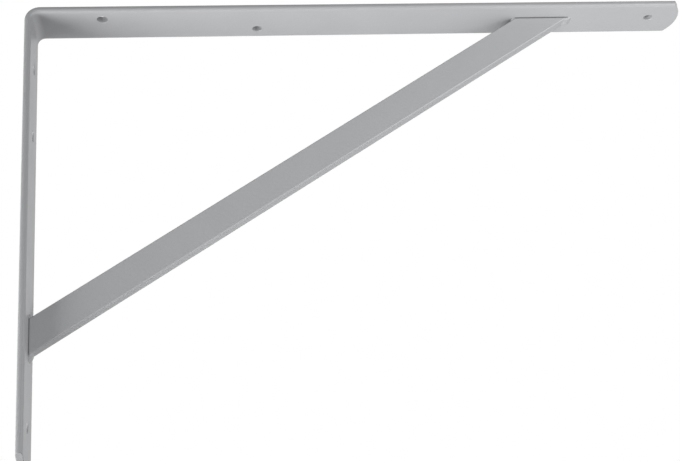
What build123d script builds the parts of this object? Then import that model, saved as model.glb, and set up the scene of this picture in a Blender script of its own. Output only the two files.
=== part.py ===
import os
from math import atan2, cos, hypot, sin

from build123d import *

# Shelf bracket: a flat steel bar bent to a right angle, with a second flat bar
# welded on edge across the corner as a brace. Sizes are in millimetres.
# Origin: axis of the top wall hole, on the face that lies against the wall.
# +X runs away from the wall, under the shelf. +Y runs along the wall. +Z is up.

# Angle strap: bar section, bend, arms and rounded ends
strap_width = 38.0
strap_thickness = 5.0
strap_arris = 2.2
bend_inner_radius = 6.0
shelf_arm_length = 500.0
wall_arm_length = 340.0
end_bulge = 6.8
end_arris = 0.5

# Screw holes in the shelf arm, staggered about its centre line
rear_hole_reach = 55.0
middle_hole_reach = 170.0
tip_hole_setback = 24.0
hole_stagger = 7.5
tip_hole_offset = -2.0
rear_hole_diameter = 8.0
shelf_hole_diameter = 7.0

# Screw holes in the wall arm, on its centre line
top_hole_drop = 42.0
second_hole_drop = 97.0
foot_hole_setback = 28.0
wall_hole_diameter = 8.0
hole_deburr = 0.3

# Brace: bar section, and where its centre line meets the two arms
brace_depth = 22.0
brace_thickness = 10.0
brace_arris = 0.9
brace_head_setback = 110.0
brace_foot_setback = 90.0
brace_offset = 1.0

# Weld beads across the brace's two ends
weld_leg = 3.6
weld_crown = 0.5

# Faces and tips that the pieces are placed from
shelf_face = top_hole_drop
shelf_arm_inner = shelf_face - strap_thickness
wall_arm_inner = strap_thickness
lower_tip = shelf_face - wall_arm_length
half_width = strap_width / 2

# Brace centre line, from the wall arm up to the shelf arm
foot_height = lower_tip + brace_foot_setback
head_reach = shelf_arm_length - brace_head_setback
brace_run = head_reach - wall_arm_inner
brace_rise = shelf_arm_inner - foot_height
brace_angle = atan2(brace_rise, brace_run)
brace_direction = Vector(cos(brace_angle), 0, sin(brace_angle))

# Angle strap: one flat bar bent cold, its ends cropped to a shallow curve and its
# screw holes drilled
with BuildPart() as angle_strap:
    with BuildSketch(Plane.XZ) as side_view:
        with BuildLine():
            Polyline(
                (0, lower_tip),
                (0, shelf_face),
                (shelf_arm_length, shelf_face),
                (shelf_arm_length, shelf_arm_inner),
                (wall_arm_inner, shelf_arm_inner),
                (wall_arm_inner, lower_tip),
                close=True,
            )
        make_face()
        fillet(
            side_view.vertices().sort_by_distance((wall_arm_inner, shelf_arm_inner))[0],
            radius=bend_inner_radius,
        )
        fillet(
            side_view.vertices().sort_by_distance((0, shelf_face))[0],
            radius=bend_inner_radius + strap_thickness,
        )
    extrude(amount=half_width, both=True)
    rolled_edges = angle_strap.faces().filter_by(Axis.Y).edges()
    fillet(rolled_edges, radius=strap_arris)

    # Rounded tip of the shelf arm, seen from above
    with BuildSketch(Plane.XY.offset(lower_tip)):
        with BuildLine():
            Polyline(
                (shelf_arm_length - end_bulge, -half_width),
                (0, -half_width),
                (0, half_width),
                (shelf_arm_length - end_bulge, half_width),
            )
            ThreePointArc(
                (shelf_arm_length - end_bulge, half_width),
                (shelf_arm_length, 0),
                (shelf_arm_length - end_bulge, -half_width),
            )
        make_face()
    extrude(amount=wall_arm_length, mode=Mode.INTERSECT)

    # Rounded tip of the wall arm, seen along the shelf arm
    with BuildSketch(Plane.YZ):
        with BuildLine():
            Polyline(
                (-half_width, lower_tip + end_bulge),
                (-half_width, shelf_face),
                (half_width, shelf_face),
                (half_width, lower_tip + end_bulge),
            )
            ThreePointArc(
                (half_width, lower_tip + end_bulge),
                (0, lower_tip),
                (-half_width, lower_tip + end_bulge),
            )
        make_face()
    extrude(amount=shelf_arm_length, mode=Mode.INTERSECT)
    cropped_ends = [
        angle_strap.faces().sort_by(Axis.X)[-1],
        angle_strap.faces().sort_by(Axis.Z)[0],
    ]
    fillet([edge for end in cropped_ends for edge in end.edges()], radius=end_arris)

    with Locations((rear_hole_reach, -hole_stagger, shelf_face)):
        Hole(rear_hole_diameter / 2, depth=strap_thickness)
    with Locations(
        (middle_hole_reach, hole_stagger, shelf_face),
        (shelf_arm_length - tip_hole_setback, tip_hole_offset, shelf_face),
    ):
        Hole(shelf_hole_diameter / 2, depth=strap_thickness)

    wall_hole_heights = [
        shelf_face - top_hole_drop,
        shelf_face - second_hole_drop,
        lower_tip + foot_hole_setback,
    ]
    with Locations(*[Plane((0, 0, height), z_dir=(-1, 0, 0)) for height in wall_hole_heights]):
        Hole(wall_hole_diameter / 2, depth=strap_thickness)

    # The screw-head side of each hole is deburred
    underside = angle_strap.faces().filter_by(Axis.Z).sort_by(Axis.Z)[0]
    wall_arm_front = angle_strap.faces().filter_by(Axis.X).sort_by(Axis.X)[-1]
    hole_mouths = underside.inner_wires().edges() + wall_arm_front.inner_wires().edges()
    chamfer(hole_mouths, length=hole_deburr)
angle_strap.part.label = "angle_strap"

# Brace bar: a straight length of flat bar on edge, sawn at both ends to lie flush
# on the inner faces of the two arms
brace_centre = Vector(
    (wall_arm_inner + head_reach) / 2,
    brace_offset,
    (foot_height + shelf_arm_inner) / 2,
)
saw_allowance = brace_depth / sin(2 * brace_angle)
with BuildPart() as brace_bar:
    with BuildSketch(Plane(brace_centre, x_dir=(0, 1, 0), z_dir=brace_direction)):
        RectangleRounded(brace_thickness, brace_depth, radius=brace_arris)
    extrude(amount=hypot(brace_run, brace_rise) / 2 + saw_allowance, both=True)
    split(bisect_by=Plane((wall_arm_inner, 0, 0), z_dir=(1, 0, 0)), keep=Keep.TOP)
    split(bisect_by=Plane((0, 0, shelf_arm_inner), z_dir=(0, 0, -1)), keep=Keep.TOP)
brace_bar.part.label = "brace_bar"

# Weld beads: each fills the corner between an arm's inner face and one narrow edge
# of the brace. Its section is given by the corner and the directions of its two legs.
half_foot = brace_depth / 2 / cos(brace_angle)
half_head = brace_depth / 2 / sin(brace_angle)
up_brace = Vector(cos(brace_angle), sin(brace_angle))
down_brace = -up_brace
weld_corners = {
    "foot_weld_upper": (Vector(wall_arm_inner, foot_height + half_foot), Vector(0, 1), up_brace),
    "foot_weld_lower": (Vector(wall_arm_inner, foot_height - half_foot), Vector(0, -1), up_brace),
    "head_weld_inner": (Vector(head_reach - half_head, shelf_arm_inner), Vector(-1, 0), down_brace),
    "head_weld_outer": (Vector(head_reach + half_head, shelf_arm_inner), Vector(1, 0), down_brace),
}
weld_length = brace_thickness - 2 * brace_arris
weld_beads = []
for name, (corner, along_arm, along_brace) in weld_corners.items():
    arm_toe = corner + along_arm * weld_leg
    brace_toe = corner + along_brace * weld_leg
    toe_middle = (arm_toe + brace_toe) / 2
    crown = toe_middle + (toe_middle - corner).normalized() * weld_crown
    with BuildPart() as weld_bead:
        with BuildSketch(Plane.XZ.offset(-brace_offset)):
            with BuildLine():
                Polyline(brace_toe, corner, arm_toe)
                ThreePointArc(arm_toe, crown, brace_toe)
            make_face()
        extrude(amount=weld_length / 2, both=True)
    weld_bead.part.label = name
    weld_beads.append(weld_bead.part)

os.makedirs("parts", exist_ok=True)
export_step(angle_strap.part, "parts/angle_strap.step")
export_step(brace_bar.part, "parts/brace_bar.step")
for bead in weld_beads:
    export_step(bead, f"parts/{bead.label}.step")
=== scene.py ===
from math import atan2, cos, radians, sin

import bmesh
import bpy
import numpy as np
from mathutils import Matrix, Vector


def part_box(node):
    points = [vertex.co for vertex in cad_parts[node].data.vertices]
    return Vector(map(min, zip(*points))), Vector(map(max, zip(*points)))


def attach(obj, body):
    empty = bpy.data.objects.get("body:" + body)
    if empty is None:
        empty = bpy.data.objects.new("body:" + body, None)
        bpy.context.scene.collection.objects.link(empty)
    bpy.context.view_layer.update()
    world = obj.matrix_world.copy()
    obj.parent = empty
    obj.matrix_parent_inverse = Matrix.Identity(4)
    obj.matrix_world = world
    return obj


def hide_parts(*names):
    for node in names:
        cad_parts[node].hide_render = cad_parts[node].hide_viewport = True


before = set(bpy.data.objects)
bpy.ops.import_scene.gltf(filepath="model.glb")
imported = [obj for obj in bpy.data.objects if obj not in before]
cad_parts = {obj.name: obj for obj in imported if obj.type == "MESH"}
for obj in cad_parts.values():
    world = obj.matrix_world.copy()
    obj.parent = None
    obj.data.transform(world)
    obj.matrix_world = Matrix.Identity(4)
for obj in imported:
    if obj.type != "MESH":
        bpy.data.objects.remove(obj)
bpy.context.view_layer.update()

# Angle strap: a flat bar of mild steel, bent cold to a right angle and drilled. The welded
# bracket has one coat of satin grey polyester powder, baked until it flows, which leaves a faint
# orange peel. Its arrises, the cropped end and the corners round the brace's ends are painted darker,
# as painted shade.
strap_low, strap_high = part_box("angle_strap")
strap_half_width = strap_high[1]
strap_thickness = 0.005
strap_arris = 0.0022
shelf_arm_inner = strap_high[2] - strap_thickness
wall_arm_inner = strap_thickness
end_bulge = 0.0068
end_blend = 0.0005
end_margin = 0.0007
end_curve_radius = (strap_half_width ** 2 + end_bulge ** 2) / (2 * end_bulge)
end_curve_centre = strap_low[2] + end_curve_radius
brace_low, brace_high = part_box("brace_bar")
brace_offset = (brace_low[1] + brace_high[1]) / 2
brace_half_thickness = (brace_high[1] - brace_low[1]) / 2
brace_depth = 0.022
brace_head_setback = 0.110
brace_foot_setback = 0.090
head_reach = strap_high[0] - brace_head_setback
foot_height = strap_low[2] + brace_foot_setback
brace_angle = atan2(shelf_arm_inner - foot_height, head_reach - wall_arm_inner)
half_foot = brace_depth / 2 / cos(brace_angle)
half_head = brace_depth / 2 / sin(brace_angle)
# Width of the thin line of painted shade in the corners round the brace's ends.
crevice = 0.0007
film_grey = "#ADAEB0"
film_grey_cloud = "#A7A8AA"
# The dark grey of the painted shade on the strap's arrises, its cropped end and the corners round the
# brace's ends, and of the thin-film spots on the welds.
shade_and_thin_film_grey = "#6E6F70"
film_cloud = 0.030
roughest_film = 0.50
smoothest_film = 0.38
film_index = 1.5
orange_peel_crest = 0.0022
orange_peel_height = 0.00007
powder_grain = 0.0006
grain_to_peel = 1 / 6
# How dark the painted shade is on the arrises and on the cropped end, from 0 to 1.
arris_painted_shade = 0.2
cropped_end_painted_shade = 0.8


def linear(code):
    """An sRGB hex colour as linear red, green, blue and alpha 1."""
    parts = np.array([int(code[i:i + 2], 16) / 255 for i in (1, 3, 5)])
    parts = np.where(parts <= 0.04045, parts / 12.92, ((parts + 0.055) / 1.055) ** 2.4)
    return (*parts.tolist(), 1.0)


def add(nodes, kind, inputs, **settings):
    """Adds a node with its settings. inputs gives each socket, by name or number, a value, an
    output of another node, or a node whose first output is used."""
    node = nodes.new(kind)
    for name, value in settings.items():
        setattr(node, name, value)
    for socket, value in inputs.items():
        if isinstance(value, bpy.types.Node):
            value = value.outputs[0]
        if isinstance(value, bpy.types.NodeSocket):
            nodes.id_data.links.new(value, node.inputs[socket])
        else:
            node.inputs[socket].default_value = value
    return node


def powder_coat(name, shade_and_thin_film, peel_height):
    """Satin polyester powder coat, even and slightly clouded, with soft highlights. The second
    argument adds the nodes that say, from 0 to 1, where the colour turns to the dark grey: painted
    shade on the strap and the brace, and spots of thin film on the welds. peel_height is the orange
    peel's height in metres. The peel is drawn deeper than a real one, and the powder's own grain,
    under 0.1 mm, is drawn coarser, so that both show from near."""
    material = bpy.data.materials.new(name)
    material.use_nodes = True
    nodes = material.node_tree.nodes
    nodes.clear()
    place = add(nodes, "ShaderNodeTexCoord", {}).outputs["Object"]
    cloud = add(nodes, "ShaderNodeTexNoise", {
        "Vector": place, "Scale": 1 / film_cloud, "Detail": 3.0, "Roughness": 0.55})
    peel = add(nodes, "ShaderNodeTexNoise", {
        "Vector": place, "Scale": 1 / orange_peel_crest, "Detail": 1.0, "Roughness": 0.5})
    grain = add(nodes, "ShaderNodeTexNoise", {
        "Vector": place, "Scale": 1 / powder_grain, "Detail": 2.0, "Roughness": 0.6})
    film = add(nodes, "ShaderNodeMix", {
        0: cloud, 6: linear(film_grey_cloud), 7: linear(film_grey)}, data_type="RGBA")
    colour = add(nodes, "ShaderNodeMix", {
        0: shade_and_thin_film(nodes, place), 6: film.outputs[2], 7: linear(shade_and_thin_film_grey)},
        data_type="RGBA")
    roughness = add(nodes, "ShaderNodeMapRange", {
        "Value": cloud, "To Min": roughest_film, "To Max": smoothest_film})
    waves = add(nodes, "ShaderNodeBump", {
        "Strength": 1.0, "Distance": peel_height, "Height": peel})
    dust = add(nodes, "ShaderNodeBump", {
        "Strength": 1.0, "Distance": peel_height * grain_to_peel, "Height": grain,
        "Normal": waves})
    shader = add(nodes, "ShaderNodeBsdfPrincipled", {
        "Base Color": colour.outputs[2], "Roughness": roughness, "IOR": film_index,
        "Normal": dust})
    add(nodes, "ShaderNodeOutputMaterial", {"Surface": shader})
    return material


def off_brace_end(nodes, place, centre, half_size):
    """How far a point lies off the rectangle on which an end of the brace stands: the greatest,
    over the three axes, of its distance from the centre less half the rectangle's size."""
    offset = add(nodes, "ShaderNodeVectorMath", {0: place, 1: centre}, operation="SUBTRACT")
    reach = add(nodes, "ShaderNodeVectorMath", {0: offset}, operation="ABSOLUTE")
    past = add(nodes, "ShaderNodeVectorMath", {0: reach, 1: half_size}, operation="SUBTRACT")
    axes = add(nodes, "ShaderNodeSeparateXYZ", {"Vector": past}).outputs
    level = add(nodes, "ShaderNodeMath", {0: axes["X"], 1: axes["Y"]}, operation="MAXIMUM")
    return add(nodes, "ShaderNodeMath", {0: level, 1: axes["Z"]}, operation="MAXIMUM")


def in_crevice(nodes, first_distance, second_distance):
    """1 where the lesser of two distances is up to half a crevice, falling to 0 at one and a
    half."""
    nearer = add(nodes, "ShaderNodeMath", {
        0: first_distance, 1: second_distance}, operation="MINIMUM")
    return add(nodes, "ShaderNodeMapRange", {
        "Value": nearer, "From Min": crevice / 2, "From Max": crevice * 1.5,
        "To Min": 1.0, "To Max": 0.0}, interpolation_type="SMOOTHSTEP")


def painted_shade_on_strap(nodes, place):
    """Painted shade on the strap, the greatest of three: the arrises, by the distance from the centre
    line; the cropped end of the wall arm, by the distance from the centre of its curve, seen along
    the shelf arm; and the crevices round the brace's two ends."""
    axes = add(nodes, "ShaderNodeSeparateXYZ", {"Vector": place}).outputs
    from_centre_line = add(nodes, "ShaderNodeMath", {0: axes["Y"]}, operation="ABSOLUTE")
    arrises = add(nodes, "ShaderNodeMapRange", {
        "Value": from_centre_line, "From Min": strap_half_width - strap_arris,
        "From Max": strap_half_width - strap_arris / 4, "To Max": arris_painted_shade},
        interpolation_type="SMOOTHSTEP")
    seen_along_shelf_arm = add(nodes, "ShaderNodeVectorMath", {
        0: place, 1: (0, 1, 1)}, operation="MULTIPLY")
    from_curve_centre = add(nodes, "ShaderNodeVectorMath", {
        0: seen_along_shelf_arm, 1: (0, 0, end_curve_centre)}, operation="DISTANCE")
    rim = add(nodes, "ShaderNodeMapRange", {
        "Value": from_curve_centre.outputs["Value"], "From Min": end_curve_radius - end_blend,
        "From Max": end_curve_radius, "To Max": cropped_end_painted_shade},
        interpolation_type="SMOOTHSTEP")
    at_wall_arm_end = add(nodes, "ShaderNodeMath", {
        0: axes["Z"], 1: strap_low[2] + end_bulge + end_margin}, operation="LESS_THAN")
    end = add(nodes, "ShaderNodeMath", {0: at_wall_arm_end, 1: rim}, operation="MULTIPLY")
    outer = add(nodes, "ShaderNodeMath", {0: arrises, 1: end}, operation="MAXIMUM")
    from_head = off_brace_end(nodes, place, (head_reach, brace_offset, shelf_arm_inner),
                              (half_head, brace_half_thickness, 0))
    from_foot = off_brace_end(nodes, place, (wall_arm_inner, brace_offset, foot_height),
                              (0, brace_half_thickness, half_foot))
    return add(nodes, "ShaderNodeMath", {
        0: outer, 1: in_crevice(nodes, from_head, from_foot)}, operation="MAXIMUM")


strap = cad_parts["angle_strap"]
strap.material_slots[0].material = powder_coat(
    "powder_coat_on_strap", painted_shade_on_strap, orange_peel_height)

# Brace bar: a straight length of narrower flat bar on edge, sawn at both ends. Where it meets
# the arms, a thin dark line of painted shade lies along the sharp corners.


def painted_shade_on_brace(nodes, place):
    """Painted shade in the crevices, by the distances from the two arms' inner faces."""
    axes = add(nodes, "ShaderNodeSeparateXYZ", {"Vector": place}).outputs
    below_shelf_arm = add(nodes, "ShaderNodeMath", {
        0: shelf_arm_inner, 1: axes["Z"]}, operation="SUBTRACT")
    off_wall_arm = add(nodes, "ShaderNodeMath", {
        0: axes["X"], 1: wall_arm_inner}, operation="SUBTRACT")
    return in_crevice(nodes, below_shelf_arm, off_wall_arm)


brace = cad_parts["brace_bar"]
brace.material_slots[0].material = powder_coat(
    "powder_coat_on_brace", painted_shade_on_brace, orange_peel_height)

# Weld beads: one short run of weld metal in each of the four corners between the brace's
# narrow edges and the arms, put down in overlapping puddles, so it has curved ripples and
# rounded ends. The powder coat lies thick on it and softens them.
weld_leg = 0.0036
weld_crown = 0.0006
weld_length = 0.0092
leg_share_at_ends = 0.15
ripple_pitch = 0.0015
ripple_height = 0.00010
ripple_lag = 0.45
swell_height = 0.03
swell_rate = 5.0
swell_start = 9.0
root_depth = 0.0004
sections_along = 61
points_across = 25
toe_crease = radians(60)
film_pit = 0.0014286
pit_thinness = 0.2
weld_peel_height = 0.00004


def closed_tube(name, rings):
    """A mesh from rings of points. Each ring is closed, joined to the next by four-sided
    faces, and the first and last rings are closed by triangles to their middle points. The
    faces are turned outwards, and edges sharper than toe_crease stay sharp."""
    count, around = rings.shape[:2]
    points = np.vstack([rings.reshape(-1, 3), rings[0].mean(0), rings[-1].mean(0)])
    ring = np.arange(count - 1)[:, None] * around
    here = np.arange(around)[None, :]
    after = (here + 1) % around
    quads = np.stack([ring + here, ring + after, ring + around + after, ring + around + here], -1)
    last = (count - 1) * around
    first_middle = np.full(around, count * around)
    start_fan = np.stack([after[0], here[0], first_middle], -1)
    end_fan = np.stack([last + here[0], last + after[0], first_middle + 1], -1)
    faces = quads.reshape(-1, 4).tolist() + start_fan.tolist() + end_fan.tolist()
    mesh = bpy.data.meshes.new(name)
    mesh.from_pydata(points.tolist(), [], faces)
    shell = bmesh.new()
    shell.from_mesh(mesh)
    bmesh.ops.recalc_face_normals(shell, faces=shell.faces)
    shell.to_mesh(mesh)
    shell.free()
    mesh.polygons.foreach_set("use_smooth", np.ones(len(mesh.polygons), bool))
    mesh.set_sharp_from_angle(angle=toe_crease)
    return mesh


def weld_bead_rings(corner, along_arm, along_brace, phase):
    """Sections of a bead across the brace. u runs from the arm's toe to the brace's toe: a
    point of the face is the corner, plus the leg times u along the brace and 1 - u along the
    arm, plus the crown times 4u(1 - u) outwards. Both are scaled along the bead by a flat
    ellipse of the fourth power, and the leg swells and shrinks a little on a slow sine. The
    ripples are a squared sine along the bead that bends back at the toes."""
    arm, brace_way = np.array(along_arm), np.array(along_brace)
    outward = (arm + brace_way) / np.linalg.norm(arm + brace_way)
    u = np.linspace(0, 1, points_across)[None, :, None]
    v = np.sin(np.linspace(-1, 1, sections_along) * np.pi / 2)[:, None, None]
    full = (1 - v ** 4) ** 0.25
    arch = 4 * u * (1 - u)
    turns = v * weld_length / 2 / ripple_pitch + phase - ripple_lag * arch
    ripple = np.sin(np.pi * turns) ** 2
    swell = 1 + swell_height * np.sin(swell_rate * v + swell_start * phase)
    leg = weld_leg * swell * (leg_share_at_ends + (1 - leg_share_at_ends) * full)
    rise = (weld_crown + ripple_height * (ripple - 0.5)) * full * arch
    face = np.array(corner) + leg * ((1 - u) * arm + u * brace_way) + rise * outward
    root = np.array(corner) - root_depth * outward + 0 * face[:, :1]
    section = np.concatenate([face, root], axis=1)
    width = brace_offset + v[:, 0] * weld_length / 2 + 0 * section[:, :, 0]
    return np.stack([section[:, :, 0], width, section[:, :, 1]], -1)


def thin_on_weld(nodes, place):
    """Spots of a millimetre or two where the film has drawn back between the ripples."""
    spots = add(nodes, "ShaderNodeTexNoise", {
        "Vector": place, "Scale": 1 / film_pit, "Detail": 2.0})
    return add(nodes, "ShaderNodeMapRange", {
        "Value": spots, "From Min": 0.5, "From Max": 0.8, "To Max": pit_thinness})


up_brace = (cos(brace_angle), sin(brace_angle))
down_brace = (-cos(brace_angle), -sin(brace_angle))
weld_finish = powder_coat("powder_coat_on_weld", thin_on_weld, weld_peel_height)
for node, corner, along_arm, along_brace, phase in (
    ("foot_weld_upper", (wall_arm_inner, foot_height + half_foot), (0, 1), up_brace, 0.1),
    ("foot_weld_lower", (wall_arm_inner, foot_height - half_foot), (0, -1), up_brace, 0.4),
    ("head_weld_inner", (head_reach - half_head, shelf_arm_inner), (-1, 0), down_brace, 0.7),
    ("head_weld_outer", (head_reach + half_head, shelf_arm_inner), (1, 0), down_brace, 0.3),
):
    rings = weld_bead_rings(corner, along_arm, along_brace, phase)
    bead = bpy.data.objects.new(node + "_bead", closed_tube(node + "_bead", rings))
    bpy.context.scene.collection.objects.link(bead)
    bead.data.materials.append(weld_finish)
    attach(bead, "root")
    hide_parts(node)

# Floor: a plain sheet painted matt white, as far below the bracket as a room's floor is below
# a high shelf. To the camera and in reflections it also glows, so that it is nearly as white
# as the surround.
floor_height = -1.90
floor_half = 25.0
floor_white = "#E6E6E6"
floor_roughness = 0.9
floor_lift = 0.72


def seen_or_mirrored(nodes):
    """1 for camera, glossy and transmission rays, and 0 for the rays that carry diffuse light."""
    rays = add(nodes, "ShaderNodeLightPath", {}).outputs
    seen = add(nodes, "ShaderNodeMath", {
        0: rays["Is Camera Ray"], 1: rays["Is Glossy Ray"]}, operation="MAXIMUM")
    return add(nodes, "ShaderNodeMath", {
        0: seen, 1: rays["Is Transmission Ray"]}, operation="MAXIMUM")


floor_mesh = bpy.data.meshes.new("studio_floor")
floor_mesh.from_pydata(
    [(floor_half * x, floor_half * y, floor_height) for x, y in ((-1, -1), (1, -1), (1, 1), (-1, 1))],
    [], [(0, 1, 2, 3)])
floor = bpy.data.objects.new("studio_floor", floor_mesh)
bpy.context.scene.collection.objects.link(floor)
floor_paint = bpy.data.materials.new("matt_white_paint")
floor_paint.use_nodes = True
floor_nodes = floor_paint.node_tree.nodes
floor_nodes.clear()
glow = add(floor_nodes, "ShaderNodeMath", {
    0: seen_or_mirrored(floor_nodes), 1: floor_lift}, operation="MULTIPLY")
sheet = add(floor_nodes, "ShaderNodeBsdfPrincipled", {
    "Base Color": linear(floor_white), "Roughness": floor_roughness,
    "Emission Color": linear("#FFFFFF"), "Emission Strength": glow})
add(floor_nodes, "ShaderNodeOutputMaterial", {"Surface": sheet})
floor_mesh.materials.append(floor_paint)

# Studio light: a dim plain surround that shows white behind the bracket, two softboxes low at
# the left that light the undersides, and a small weak one close by at the right front.
surround_level = 0.25
bracket_middle = Vector((0.25, 0.0, -0.13))
world = bpy.data.worlds.new("white_surround")
bpy.context.scene.world = world
world.use_nodes = True
world_nodes = world.node_tree.nodes
world_nodes.clear()
level = add(world_nodes, "ShaderNodeMapRange", {
    "Value": seen_or_mirrored(world_nodes), "To Min": surround_level, "To Max": 1.0})
sky = add(world_nodes, "ShaderNodeBackground", {"Color": linear("#FFFFFF"), "Strength": level})
add(world_nodes, "ShaderNodeOutputWorld", {"Surface": sky})


def softbox(name, place, side, power):
    """A square area lamp turned to the middle of the bracket, which the camera doesn't see."""
    lamp = bpy.data.lights.new(name, "AREA")
    lamp.size = side
    lamp.energy = power
    holder = bpy.data.objects.new(name, lamp)
    bpy.context.scene.collection.objects.link(holder)
    holder.location = place
    holder.rotation_mode = "QUATERNION"
    holder.rotation_quaternion = (bracket_middle - Vector(place)).to_track_quat("-Z", "Y")
    holder.visible_camera = False


softbox("low_left_softbox", (-1.056, -0.392, -1.305), 0.9, 34.0)
softbox("low_back_softbox", (-0.871, 0.140, -1.531), 0.9, 11.5)
softbox("right_front_softbox", (0.850, -0.600, -0.200), 0.5, 5.0)

# Camera: low in front of the bracket, looking up under the shelf arm, with a small shift that
# brings the two arms nearer to level and upright in the frame.
camera_place = (0.1309, -0.8346, -0.4933)
camera_yaw = radians(-7.284)
camera_pitch = radians(20.536)
camera_roll = radians(-4.641)
lens = bpy.data.cameras.new("camera")
lens.lens = 67.38
lens.shift_x = -0.04
lens.shift_y = 0.08
lens.sensor_width = 36.0
lens.clip_start = 0.01
camera = bpy.data.objects.new("camera", lens)
bpy.context.scene.collection.objects.link(camera)
camera.matrix_world = (
    Matrix.Translation(camera_place)
    @ Matrix.Rotation(camera_yaw, 4, "Z")
    @ Matrix.Rotation(radians(90) + camera_pitch, 4, "X")
    @ Matrix.Rotation(camera_roll, 4, "Z")
)
bpy.context.scene.camera = camera
bpy.context.scene.view_settings.view_transform = "Standard"
